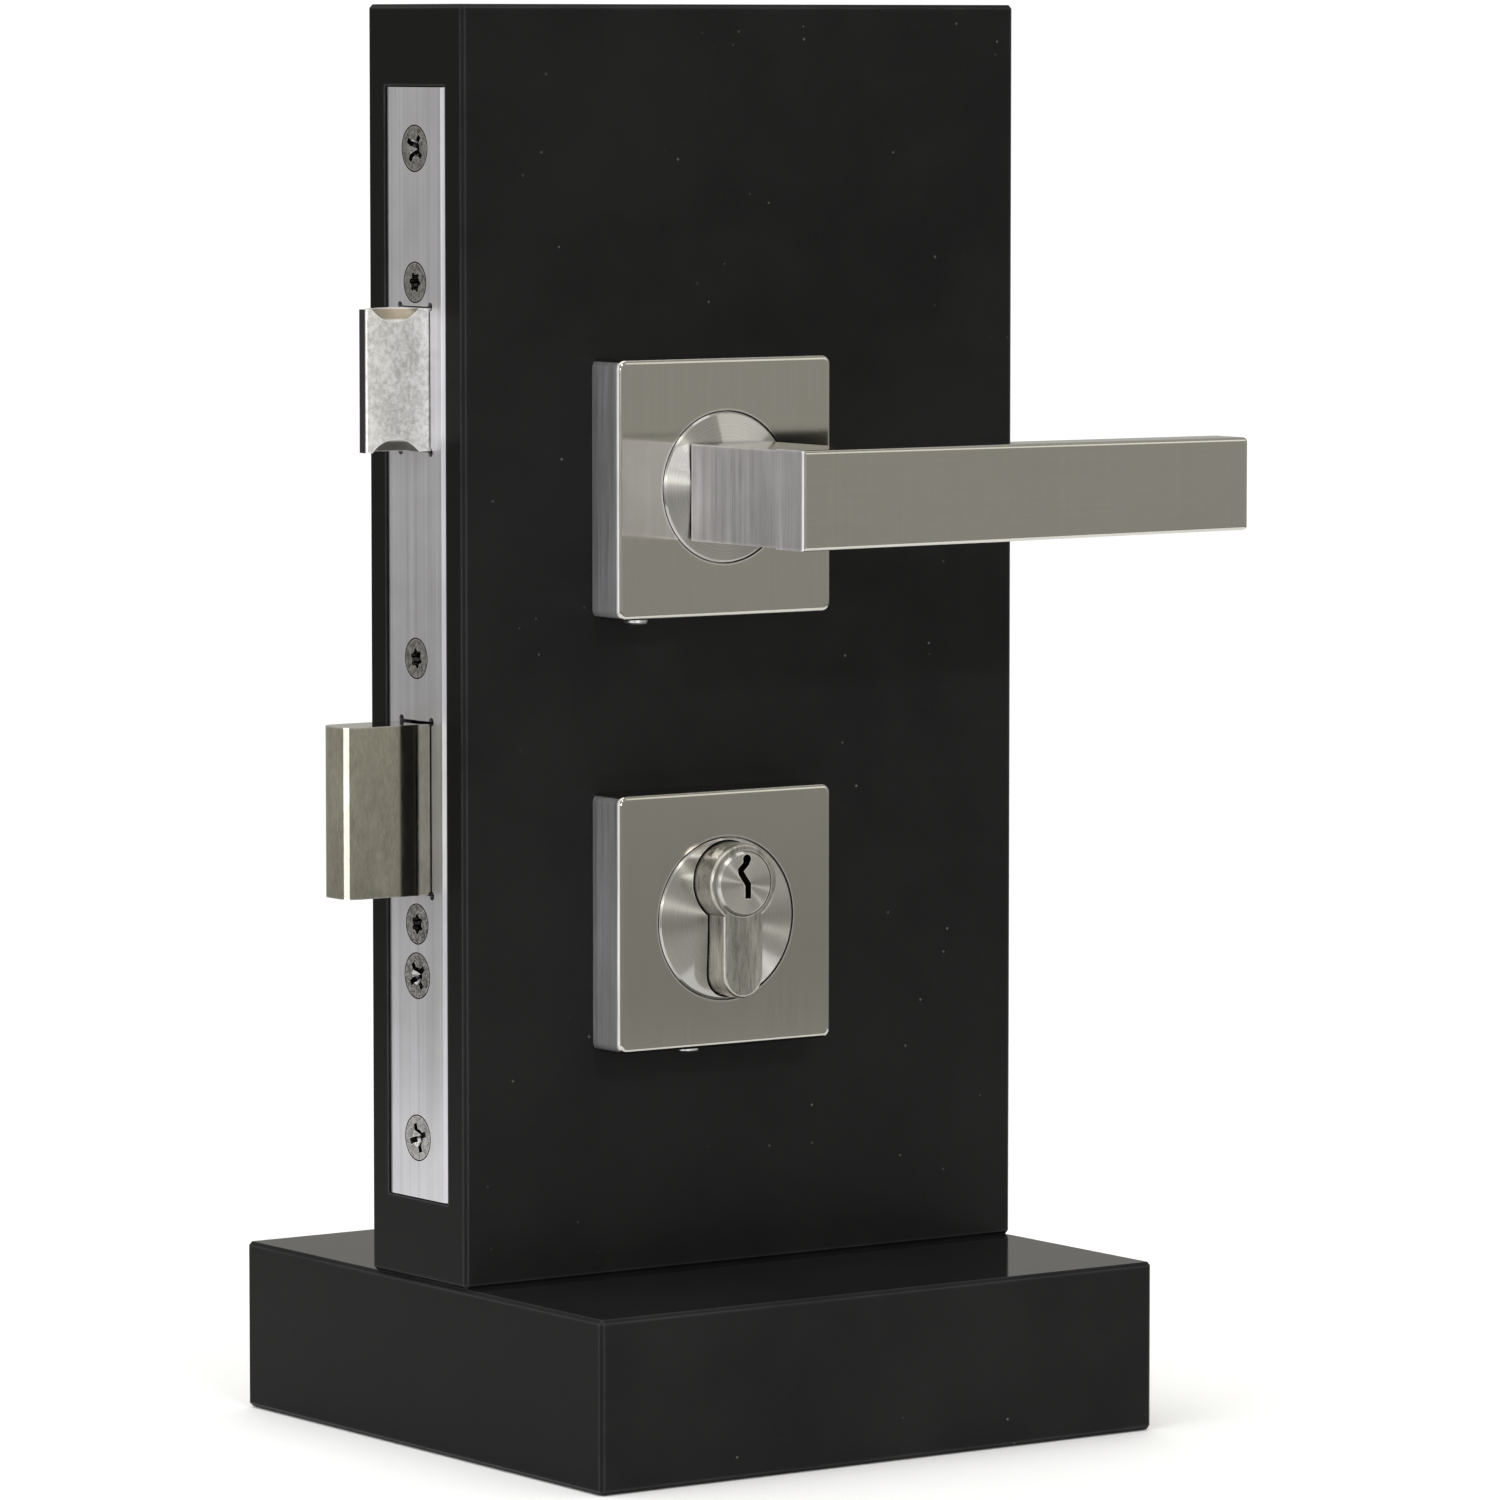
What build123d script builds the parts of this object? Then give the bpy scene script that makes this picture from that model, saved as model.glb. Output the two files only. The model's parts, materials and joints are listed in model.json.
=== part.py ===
"""Mortice lock set with lever handles, latch, deadbolt and euro cylinder, in an upright door block.

Frame: millimetres, +Z up, origin at the centre of the stand's underside. The lock's forend is on the
-X edge of the block, the outside lever is on the -Y face and both levers point along +X.
"""

import math
import os

from build123d import *

# ---- driving dimensions -------------------------------------------------------------------------

# Stand: an upright piece of door on a flat base
BASE_HEIGHT = 36.5
BASE_DEPTH = 138.5
BLOCK_WIDTH = 143.5
BLOCK_THICKNESS = 36.5
BLOCK_HEIGHT = 270.0
ARRIS = 0.8

# Places of the lock in the door
BACKSET = 60.0
SPINDLE_ABOVE_BASE = 168.0
SPINDLE_TO_PLUG = 84.0
LATCH_ABOVE_SPINDLE = 22.0
BOLT_ABOVE_PLUG = 16.8
FOREND_ABOVE_BASE = 17.6

# Forend and lock case
FOREND_LENGTH = 235.0
FOREND_WIDTH = 22.7
FOREND_THICKNESS = 3.0
CASE_THICKNESS = 15.0
CASE_WALL = 1.5
CASE_BELOW_PLUG = 34.0
CASE_ABOVE_LATCH = 28.0
CASE_BEHIND_SPINDLE = 30.0
INNER_FOREND_THICKNESS = 2.0
SLOT_CORNER_RELIEF = 0.9

# Screws: radius of the head, radius of the shank and length
STAND_SCREW = (5.0, 2.3, 65.0)
DOOR_SCREW = (4.7, 2.3, 34.0)
PLATE_SCREW = (4.1, 1.95, 4.8)
CASE_SCREW = (2.5, 1.45, 9.0)
ROSE_BOLT = (3.9, 1.95, 29.25)
HEAD_RIM = 0.4
RIM_GAP = 0.3
RIM_STEP = 0.35

# Drive recesses: width across and depth
LARGE_CROSS = (6.4, 2.4)
BOLT_CROSS = (4.4, 1.8)
CASE_CROSS = (3.0, 1.0)
PLATE_STAR = (4.4, 2.0)

# Other places of the fasteners
DOOR_SCREW_OFFSET = 104.7
FIXING_SCREW_BELOW_PLUG = 19.0

# Bolts
BOLT_THICKNESS = 11.0
LATCH_HEIGHT = 30.0
LATCH_HEAD_ABOVE_TAIL = 1.4
LATCH_PROJECTION = 16.0
DEADBOLT_HEIGHT = 36.2
DEADBOLT_PROJECTION = 20.8
DEADBOLT_TIP_RADIUS = 3.5
DEADBOLT_TOP_GAP = 0.4
LATCH_TIP_THICKNESS = 2.3
SCOOP_RADIUS = 7.5
SCOOP_DEPTH = 2.7
RIVET_RADIUS = 1.5
TAIL_THICKNESS = 4.0
LATCH_TAIL_HALF = 6.0
NOSE_RADIUS = 2.5
LEVER_TURN = 45.0

# Follower and springs
BOSS_RADIUS = 3.2
FOLLOWER_RADIUS = 9.0
SPRING_WIRE = 0.45
COIL_RADIUS = 2.6
LOBE_WIDTH = 6.0

# Square roses and what fills them
ROSE_SIZE = 55.0
ROSE_THICKNESS = 10.0
ROSE_WALL = 1.5
ROSE_DROP = 8.0
COLLAR_RADIUS = 16.0
INSERT_RADIUS = 17.25
DISC_PROUD = 1.2
SPIGOT_RADIUS = 14.3
BASE_PLATE_THICKNESS = 7.0
POST_SPACING = 38.0
POST_RADIUS = 3.5
POST_END = 12.0
ROSE_SCREW_RADIUS = 2.5
ROSE_SCREW_PROUD = 1.1
ROSE_SCREW_DEPTH = 4.0
ROSE_SCREW_HOLE_DEPTH = 7.5
LEVER_ROSE_SCREW = -19.0
CYLINDER_ROSE_SCREW = -6.0

# Lever handle
LEVER_FRONT_TO_DOOR = 52.0
LEVER_TIP_TO_SPINDLE = 108.0
LEVER_HEIGHT = 21.0
LEVER_TIP_HEIGHT = 20.0
LEVER_THICKNESS = 10.0
LEVER_DROP = 0.8
NECK_WIDTH = 19.4
NECK_HEIGHT = 20.5
SHANK_RADIUS = 8.0
SPINDLE_SIZE = 8.0
GRUB_RADIUS = 2.5

# Euro cylinder
CYLINDER_LENGTH = 70.0
PROFILE_RADIUS = 8.5
STEM_WIDTH = 10.0
PROFILE_HEIGHT = 33.0
PLUG_RADIUS = 6.5
PLUG_FACE_RADIUS = 7.0
PLUG_PROUD = 0.5
CAM_GAP = 10.2
CAM_REACH = 15.3
PIN_COUNT = 5
PIN_PITCH = 4.0
PIN_RADIUS = 1.4

# Clearances
SLIDE_GAP = 0.3
POST_GAP = 0.5
MORTICE_GAP = 0.5
SPINDLE_HOLE_RADIUS = 12.0
PROFILE_HOLE_GAP = 2.0
RUNNING_FIT = 0.05
TOUCH_FIT = 0.02

# ---- derived places -----------------------------------------------------------------------------

DOOR_EDGE = -BLOCK_WIDTH / 2
FACE = BLOCK_THICKNESS / 2
ROSE_FACE = FACE + ROSE_THICKNESS
SPINDLE_X = DOOR_EDGE + BACKSET
SPINDLE_Z = BASE_HEIGHT + SPINDLE_ABOVE_BASE
PLUG_Z = SPINDLE_Z - SPINDLE_TO_PLUG
LOWER_ROSE_Z = PLUG_Z - ROSE_DROP
LATCH_Z = SPINDLE_Z + LATCH_ABOVE_SPINDLE
LATCH_HEAD_Z = LATCH_Z + LATCH_HEAD_ABOVE_TAIL
BOLT_Z = PLUG_Z + BOLT_ABOVE_PLUG
FOREND_LOW = BASE_HEIGHT + FOREND_ABOVE_BASE
FOREND_Z = FOREND_LOW + FOREND_LENGTH / 2

CASE_FRONT = DOOR_EDGE + FOREND_THICKNESS + INNER_FOREND_THICKNESS
CASE_REAR = SPINDLE_X + CASE_BEHIND_SPINDLE
CASE_LOW = PLUG_Z - CASE_BELOW_PLUG
CASE_TOP = LATCH_Z + CASE_ABOVE_LATCH
CASE_HALF = CASE_THICKNESS / 2
CASE_INNER_HALF = CASE_HALF - CASE_WALL

FIXING_SCREW_Z = PLUG_Z - FIXING_SCREW_BELOW_PLUG
DOOR_SCREW_HEIGHTS = (FOREND_Z - DOOR_SCREW_OFFSET, FOREND_Z + DOOR_SCREW_OFFSET)
PLATE_SCREW_HEIGHTS = (PLUG_Z - ROSE_DROP, BASE_HEIGHT + 132.4, BASE_HEIGHT + 211.7)
CASE_SCREW_PLACES = (
    (CASE_FRONT + 8.0, CASE_LOW + 5.5),
    (CASE_REAR - 6.0, CASE_LOW + 5.5),
    (CASE_FRONT + 21.0, SPINDLE_Z - 24.0),
    (CASE_REAR - 6.0, SPINDLE_Z - 24.0),
    (CASE_FRONT + 8.0, CASE_TOP - 5.5),
    (CASE_REAR - 6.0, CASE_TOP - 5.5),
)

BOLT_HALF = BOLT_THICKNESS / 2
LATCH_TIP = DOOR_EDGE - LATCH_PROJECTION
LATCH_BACK = DOOR_EDGE + 21.0
BOLT_TIP = DOOR_EDGE - DEADBOLT_PROJECTION
BOLT_BACK = DOOR_EDGE + 15.0

COLLAR_FACE = ROSE_FACE + DISC_PROUD
LEVER_FRONT = FACE + LEVER_FRONT_TO_DOOR
SHANK_END = FACE + 0.4
SPINDLE_END = ROSE_FACE + 22.0
LEVER_Z = SPINDLE_Z - LEVER_DROP
GRUB_Y = COLLAR_FACE + 9.0
POST_XS = (SPINDLE_X - POST_SPACING / 2, SPINDLE_X + POST_SPACING / 2)
POST_PLACES = [(x, z) for z in (SPINDLE_Z, LOWER_ROSE_Z) for x in POST_XS]

HALF_CYLINDER = CYLINDER_LENGTH / 2
CAM_HALF = CAM_GAP / 2 - 0.3
STEM_CENTRE = PROFILE_HEIGHT - PROFILE_RADIUS - STEM_WIDTH / 2
FIRST_PIN = HALF_CYLINDER - 5.5
SIDES = {"front": -1, "rear": 1}


# ---- helpers ------------------------------------------------------------------------------------


def block(x0, x1, y0, y1, z0, z1):
    """A box between two corners."""
    centre = Pos((x0 + x1) / 2, (y0 + y1) / 2, (z0 + z1) / 2)
    return centre * Box(x1 - x0, y1 - y0, z1 - z0)


def along_y(sketch, y0, y1):
    """A sketch drawn in (X, Z), extruded from y0 to y1."""
    plane = Plane(origin=(0, y1, 0), x_dir=(1, 0, 0), z_dir=(0, -1, 0))
    return extrude(plane * sketch, y1 - y0)


def along_z(sketch, z0, z1):
    """A sketch drawn in (X, Y), extruded from z0 to z1."""
    return extrude(Plane.XY.offset(z0) * sketch, z1 - z0)


def rod_y(x, z, radius, y0, y1):
    """A round bar along Y; rod_x and rod_z are its fellows."""
    return along_y(Pos(x, z) * Circle(radius), y0, y1)


def rod_x(y, z, radius, x0, x1):
    plane = Plane(origin=(x0, y, z), z_dir=(1, 0, 0))
    return extrude(plane * Circle(radius), x1 - x0)


def rod_z(x, y, radius, z0, z1):
    return along_z(Pos(x, y) * Circle(radius), z0, z1)


def tube_y(x, z, outer, inner, y0, y1):
    return along_y(Pos(x, z) * (Circle(outer) - Circle(inner)), y0, y1)


def lathe_y(x, z, profile):
    """A closed (radius, depth) outline turned about an axis along -Y through (x, z)."""
    outline = make_face(Polyline(*profile, close=True))
    plane = Plane(origin=(x, 0, z), x_dir=(1, 0, 0), z_dir=(0, 0, 1))
    return revolve(plane * outline, Axis((x, 0, z), (0, 1, 0)), 360)


def mirrored(part, side):
    """The part as built for the front (-Y) side, or its mirror image for the rear."""
    return part if side < 0 else mirror(part, Plane.XZ)


def coil(radius, wire, length, turns):
    """A helical spring standing on the XY plane."""
    path = Helix(pitch=length / turns, height=length, radius=radius)
    section = Plane(origin=path @ 0, z_dir=path % 0) * Circle(wire)
    return sweep(section, path=path, is_frenet=True)


def cross_recess(size, depth):
    slot = Rectangle(size, size * 0.2) + Rectangle(size * 0.2, size)
    return extrude(Plane.XY.offset(-depth) * slot, depth + 1) + Pos(0, 0, -depth / 2) * Cone(
        0.1, size * 0.3, depth
    )


def star_recess(size, depth):
    lobes = Circle(size * 0.38)
    for spot in PolarLocations(size * 0.38, 6):
        lobes += spot * Circle(size * 0.12)
    return extrude(Plane.XY.offset(-depth) * lobes, depth + 1)


def countersunk(head_radius, shank_radius, length):
    """A countersunk screw's solid, with its head's flat top on the XY plane and its shank along -Z."""
    cone = head_radius - shank_radius
    outline = Polyline(
        (0, 0),
        (head_radius, 0),
        (head_radius, -HEAD_RIM),
        (shank_radius, -HEAD_RIM - cone),
        (shank_radius, -length + shank_radius * 0.5),
        (shank_radius * 0.5, -length),
        (0, -length),
        close=True,
    )
    return revolve(Plane.XZ * make_face(outline), Axis.Z, 360)


def countersink(head_radius, shank_radius, length):
    """The hole for a countersunk screw, with a narrow open ring round the rim of the head."""
    hole = countersunk(head_radius + TOUCH_FIT, shank_radius + RUNNING_FIT, length + 0.2)
    return hole + extrude(Plane.XY.offset(-RIM_STEP) * Circle(head_radius + RIM_GAP), 3)


def grub_screw(radius, length):
    """A set screw standing on the XY plane, with its hex socket at the bottom."""
    screw = extrude(Circle(radius), length)
    screw = chamfer(screw.edges().group_by(Axis.Z)[0], 0.3)
    return screw - extrude(RegularPolygon(radius * 0.56, 6), 2.5)


def facing(x, y, z, direction):
    """A plane that looks along a main axis, with its own X upright where it can be."""
    x_dir = (1, 0, 0) if direction[2] else (0, 0, 1)
    return Plane(origin=(x, y, z), x_dir=x_dir, z_dir=direction)


def pocketed(part, holes):
    for hole in holes:
        part -= hole
    return part


def euro_profile(gap=0.0):
    """The keyhole-shaped outline of a euro cylinder, in (X, Z) about the plug's axis."""
    stem = Pos(0, -STEM_CENTRE / 2) * Rectangle(STEM_WIDTH + 2 * gap, STEM_CENTRE)
    foot = Pos(0, -STEM_CENTRE) * Circle(STEM_WIDTH / 2 + gap)
    return Circle(PROFILE_RADIUS + gap) + stem + foot


def at_plug(sketch):
    return Pos(SPINDLE_X, PLUG_Z) * sketch


# ---- stand --------------------------------------------------------------------------------------

STAND_SCREW_PLACES = [(x, y) for x in (-45.0, 45.0) for y in (-9.0, 9.0)]
STAND_SCREW_SINK = 2.0


def stand_base():
    half = BLOCK_WIDTH / 2
    base = block(-half, half, -BASE_DEPTH / 2, BASE_DEPTH / 2, 0, BASE_HEIGHT)
    base = chamfer(base.edges(), ARRIS)
    sink = countersink(*STAND_SCREW)
    places = [facing(x, y, STAND_SCREW_SINK, (0, 0, -1)) for x, y in STAND_SCREW_PLACES]
    return pocketed(base, [place * sink for place in places])


def door_block():
    half = BLOCK_WIDTH / 2
    body = block(-half, half, -FACE, FACE, BASE_HEIGHT, BASE_HEIGHT + BLOCK_HEIGHT)
    body = chamfer(body.edges(), ARRIS)
    holes = [
        block(
            DOOR_EDGE - 5,
            CASE_FRONT + 0.2,
            -FOREND_WIDTH / 2 - SLIDE_GAP,
            FOREND_WIDTH / 2 + SLIDE_GAP,
            FOREND_LOW - SLIDE_GAP,
            FOREND_LOW + FOREND_LENGTH + SLIDE_GAP,
        ),
        block(
            DOOR_EDGE,
            CASE_REAR + MORTICE_GAP,
            -CASE_HALF - MORTICE_GAP,
            CASE_HALF + MORTICE_GAP,
            CASE_LOW - MORTICE_GAP,
            CASE_TOP + MORTICE_GAP,
        ),
        rod_y(SPINDLE_X, SPINDLE_Z, SPINDLE_HOLE_RADIUS, -FACE - 1, FACE + 1),
        along_y(at_plug(euro_profile(PROFILE_HOLE_GAP)), -FACE - 1, FACE + 1),
    ]
    holes += [rod_y(x, z, POST_RADIUS + POST_GAP, -FACE - 1, FACE + 1) for x, z in POST_PLACES]
    _, shank, length = DOOR_SCREW
    bore_end = DOOR_EDGE + length + 1
    holes += [rod_x(0, z, shank + TOUCH_FIT, DOOR_EDGE, bore_end) for z in DOOR_SCREW_HEIGHTS]
    _, shank, length = STAND_SCREW
    screw_top = STAND_SCREW_SINK + length + 1
    holes += [
        rod_z(x, y, shank + TOUCH_FIT, BASE_HEIGHT - 1, screw_top) for x, y in STAND_SCREW_PLACES
    ]
    return pocketed(body, holes)


def stand_screws():
    screw = countersunk(*STAND_SCREW) - cross_recess(*LARGE_CROSS)
    return [facing(x, y, STAND_SCREW_SINK, (0, 0, -1)) * screw for x, y in STAND_SCREW_PLACES]


# ---- forend and its screws ----------------------------------------------------------------------


def bolt_slot(z, height, top_gap=SLIDE_GAP):
    """The slot that a bolt slides through both forends and the case front, with relieved corners."""
    low, high = z - height / 2 - SLIDE_GAP, z + height / 2 + top_gap
    side = BOLT_HALF + SLIDE_GAP
    start, end = DOOR_EDGE - 2, CASE_FRONT + 5
    slot = block(start, end, -side, side, low, high)
    for y in (-side, side):
        for corner_z in (low, high):
            slot += rod_x(y, corner_z, SLOT_CORNER_RELIEF, start, end)
    return slot


def on_forend(z, turn=0.0):
    """A place on the forend's face at a height, looking out, turned about its own normal."""
    return facing(DOOR_EDGE, 0, z, (-1, 0, 0)) * Rot(0, 0, turn)


def forend_holes():
    through = 8.0
    door_sink = countersink(*DOOR_SCREW[:2], through)
    plate_sink = countersink(*PLATE_SCREW[:2], through)
    holes = [on_forend(z) * door_sink for z in (FIXING_SCREW_Z, *DOOR_SCREW_HEIGHTS)]
    holes += [on_forend(z) * plate_sink for z in PLATE_SCREW_HEIGHTS]
    holes.append(bolt_slot(LATCH_HEAD_Z, LATCH_HEIGHT))
    holes.append(bolt_slot(BOLT_Z, DEADBOLT_HEIGHT, DEADBOLT_TOP_GAP))
    return holes


def forend():
    """The visible face plate, with a shallow bevel down both long edges."""
    half = FOREND_WIDTH / 2
    bevel_in, bevel_back = 1.4, 0.5
    front, back = DOOR_EDGE, DOOR_EDGE + FOREND_THICKNESS
    outline = Polyline(
        (back, -half),
        (back, half),
        (front + bevel_back, half),
        (front, half - bevel_in),
        (front, -half + bevel_in),
        (front + bevel_back, -half),
        close=True,
    )
    plate = along_z(make_face(outline), FOREND_LOW, FOREND_LOW + FOREND_LENGTH)
    return pocketed(plate, forend_holes())


def inner_forend():
    half = FOREND_WIDTH / 2 - 0.6
    back = DOOR_EDGE + FOREND_THICKNESS
    low = FOREND_LOW + 1.0
    plate = block(back, CASE_FRONT, -half, half, low, FOREND_LOW + FOREND_LENGTH - 1.0)
    return pocketed(plate, forend_holes())


def door_fixing_screws():
    screw = countersunk(*DOOR_SCREW) - cross_recess(*LARGE_CROSS)
    return [on_forend(z, 20 + 35 * step) * screw for step, z in enumerate(DOOR_SCREW_HEIGHTS)]


def forend_plate_screws():
    screw = countersunk(*PLATE_SCREW) - star_recess(*PLATE_STAR)
    return [on_forend(z, 12 * step) * screw for step, z in enumerate(PLATE_SCREW_HEIGHTS)]


def cylinder_fixing_screw():
    length = SPINDLE_X - DOOR_EDGE + STEM_WIDTH / 2 - 1.0
    screw = countersunk(*DOOR_SCREW[:2], length) - cross_recess(*LARGE_CROSS)
    return on_forend(FIXING_SCREW_Z, 35) * screw


# ---- lock case ----------------------------------------------------------------------------------

LATCH_SPRING_Z = LATCH_Z + 10.5
LATCH_SPRING_END = -24.0
FOLLOWER_SPRING_Z = SPINDLE_Z - 15.0
FOLLOWER_SPRING_START = SPINDLE_X - 30.0


def case_openings():
    """What passes right through both sides of the case."""
    reach = CASE_THICKNESS
    holes = [
        rod_y(SPINDLE_X, SPINDLE_Z, FOLLOWER_RADIUS + RUNNING_FIT, -reach, reach),
        along_y(at_plug(euro_profile(SLIDE_GAP)), -reach, reach),
    ]
    holes += [rod_y(x, z, POST_RADIUS + POST_GAP, -reach, reach) for x, z in POST_PLACES]
    return holes


def lock_case():
    """The case tray: front side plate, four walls, screw bosses and the two spring lugs."""
    top = CASE_INNER_HALF
    tray = block(CASE_FRONT, CASE_REAR, -CASE_HALF, top, CASE_LOW, CASE_TOP)
    tray -= block(
        CASE_FRONT + CASE_WALL,
        CASE_REAR - CASE_WALL,
        -top,
        top + 1,
        CASE_LOW + CASE_WALL,
        CASE_TOP - CASE_WALL,
    )
    for x, z in CASE_SCREW_PLACES:
        tray += rod_y(x, z, BOSS_RADIUS, -top - 0.2, top)
    z = LATCH_SPRING_Z
    tray += block(LATCH_SPRING_END, LATCH_SPRING_END + 3, -top - 0.2, top - 1, z - 3.2, z + 3.2)
    z, x = FOLLOWER_SPRING_Z, FOLLOWER_SPRING_START
    tray += block(x - 3, x, -top - 0.2, top - 1, z - 4, z + 4)
    holes = case_openings() + forend_holes()
    holes += [rod_y(x, z, 1.5, -top + 2, top + 1) for x, z in CASE_SCREW_PLACES]
    return pocketed(tray, holes)


def case_cover():
    cover = block(CASE_FRONT, CASE_REAR, CASE_INNER_HALF, CASE_HALF, CASE_LOW, CASE_TOP)
    sink = countersink(*CASE_SCREW[:2], 4.0)
    holes = [facing(x, CASE_HALF, z, (0, 1, 0)) * sink for x, z in CASE_SCREW_PLACES]
    return pocketed(cover, case_openings() + holes)


def case_screws():
    screw = countersunk(*CASE_SCREW) - cross_recess(*CASE_CROSS)
    return [facing(x, CASE_HALF, z, (0, 1, 0)) * screw for x, z in CASE_SCREW_PLACES]


# ---- latch --------------------------------------------------------------------------------------

REST_LEAN = LEVER_TURN / 2
NOSE_X = SPINDLE_X - LATCH_ABOVE_SPINDLE * math.sin(math.radians(REST_LEAN))
LATCH_TAIL_FRONT = LATCH_BACK - 8.0
LATCH_TAIL_BACK = NOSE_X + 6.8
LATCH_RIVET_X = LATCH_BACK - 4.0
RIVET_HALF = BOLT_HALF - 0.3


def latch_rivet():
    return rod_y(LATCH_RIVET_X, LATCH_Z, RIVET_RADIUS, -RIVET_HALF, RIVET_HALF)


def latch_rivet_hole():
    return rod_y(LATCH_RIVET_X, LATCH_Z, RIVET_RADIUS + TOUCH_FIT, -BOLT_THICKNESS, BOLT_THICKNESS)


def latch_bolt():
    """The latch head: long hollow bevel on the far side, near side dished at both of its ends."""
    bevel_end = DOOR_EDGE - 1.0
    tip_y = -BOLT_HALF + LATCH_TIP_THICKNESS
    outline = make_face(
        [
            Line((LATCH_TIP, tip_y), (LATCH_TIP, -BOLT_HALF)),
            Line((LATCH_TIP, -BOLT_HALF), (LATCH_BACK, -BOLT_HALF)),
            Line((LATCH_BACK, -BOLT_HALF), (LATCH_BACK, BOLT_HALF)),
            Line((LATCH_BACK, BOLT_HALF), (bevel_end, BOLT_HALF)),
            ThreePointArc(
                (bevel_end, BOLT_HALF),
                ((bevel_end + LATCH_TIP) / 2 - 1.0, (BOLT_HALF + tip_y) / 2 + 1.0),
                (LATCH_TIP, tip_y),
            ),
        ]
    )
    low, high = LATCH_HEAD_Z - LATCH_HEIGHT / 2, LATCH_HEAD_Z + LATCH_HEIGHT / 2
    head = along_z(outline, low, high)
    head = fillet(head.edges().filter_by(Axis.Z).group_by(Axis.X)[0], 0.8)
    scoop_rise = SCOOP_RADIUS - SCOOP_DEPTH
    scoop_x = LATCH_TIP + 1.8 + math.sqrt(SCOOP_RADIUS**2 - scoop_rise**2)
    for scoop_z in (low - scoop_rise, high + scoop_rise):
        head -= Pos(scoop_x, -BOLT_HALF, scoop_z) * Sphere(SCOOP_RADIUS)
    half = TAIL_THICKNESS / 2 + TOUCH_FIT
    slot_half = LATCH_TAIL_HALF + TOUCH_FIT
    head -= block(
        LATCH_TAIL_FRONT, LATCH_BACK + 1, -half, half, LATCH_Z - slot_half, LATCH_Z + slot_half
    )
    return head - latch_rivet_hole()


def latch_tail():
    """The flat bar behind the latch, with a fork that the follower's nose drives."""
    half = TAIL_THICKNESS / 2
    low, high = LATCH_Z - LATCH_TAIL_HALF, LATCH_Z + LATCH_TAIL_HALF
    bar = block(LATCH_TAIL_FRONT, LATCH_TAIL_BACK, -half, half, low, high)
    fork = NOSE_RADIUS + SLIDE_GAP
    bar -= block(NOSE_X - fork, NOSE_X + fork, -9, 9, low - 1, LATCH_Z + NOSE_RADIUS + 0.5)
    return bar - latch_rivet_hole()


def latch_spring():
    length = LATCH_SPRING_END - LATCH_BACK - 0.2
    spring = coil(COIL_RADIUS, SPRING_WIRE, length - 2 * SPRING_WIRE, 9)
    start = LATCH_BACK + 0.1 + SPRING_WIRE
    return facing(start, 0, LATCH_SPRING_Z, (1, 0, 0)) * spring


def follower():
    """The follower: a bushed hub with a driving arm that carries a nose, and a spring lobe below."""
    hub = rod_y(0, 0, FOLLOWER_RADIUS, -CASE_HALF + 0.1, CASE_HALF - 0.1)
    hub += rod_y(0, 0, FOLLOWER_RADIUS + 2, -CASE_INNER_HALF + 0.5, CASE_INNER_HALF - 0.5)
    arm = Pos(0, LATCH_ABOVE_SPINDLE / 2) * Rectangle(7.0, LATCH_ABOVE_SPINDLE)
    arm += Pos(0, LATCH_ABOVE_SPINDLE) * Circle(3.5)
    inner = TAIL_THICKNESS / 2 + 0.4
    outer = CASE_INNER_HALF - 0.5
    body = hub + along_y(arm, inner, outer) + along_y(arm, -outer, -inner)
    body += rod_y(0, LATCH_ABOVE_SPINDLE, NOSE_RADIUS, -outer, outer)
    lobe = Pos(0, -9.0) * Rectangle(LOBE_WIDTH, 18.0) + Pos(0, -18.0) * Circle(LOBE_WIDTH / 2)
    body += along_y(lobe, -3.0, 3.0)
    body = Rot(0, -REST_LEAN, 0) * body
    hole = SPINDLE_SIZE + 2 * RUNNING_FIT
    body -= Box(hole, CASE_THICKNESS + 4, hole)
    return Pos(SPINDLE_X, 0, SPINDLE_Z) * body


def follower_spring():
    lean = math.radians(REST_LEAN)
    spring_top = SPINDLE_Z - FOLLOWER_SPRING_Z - COIL_RADIUS - SPRING_WIRE
    lobe_x = SPINDLE_X + spring_top * math.tan(lean) - LOBE_WIDTH / 2 / math.cos(lean)
    length = lobe_x - FOLLOWER_SPRING_START - 0.3
    spring = coil(COIL_RADIUS, SPRING_WIRE, length - 2 * SPRING_WIRE, 11)
    start = FOLLOWER_SPRING_START + 0.1 + SPRING_WIRE
    return facing(start, 0, FOLLOWER_SPRING_Z, (1, 0, 0)) * spring


# ---- deadbolt -----------------------------------------------------------------------------------

TALON_LOW = PLUG_Z + 10.0
TALON_TOP = PLUG_Z + 16.3
TALON_FRONT = SPINDLE_X - 21.4
TALON_BACK = SPINDLE_X - 0.6
BOLT_TAIL_FRONT = BOLT_BACK - 9.0
BOLT_TAIL_BACK = TALON_BACK + 4.2
BOLT_TAIL_TOP = PLUG_Z + 27.0
BOLT_TAIL_HALF = 2.5
BOLT_RIVET_X = BOLT_BACK - 4.5
BOLT_RIVET_HEIGHTS = (TALON_LOW + 5.0, BOLT_TAIL_TOP - 4.0)


def bolt_rivet_holes():
    radius = RIVET_RADIUS + TOUCH_FIT
    return [
        rod_y(BOLT_RIVET_X, z, radius, -BOLT_THICKNESS, BOLT_THICKNESS) for z in BOLT_RIVET_HEIGHTS
    ]


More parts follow.
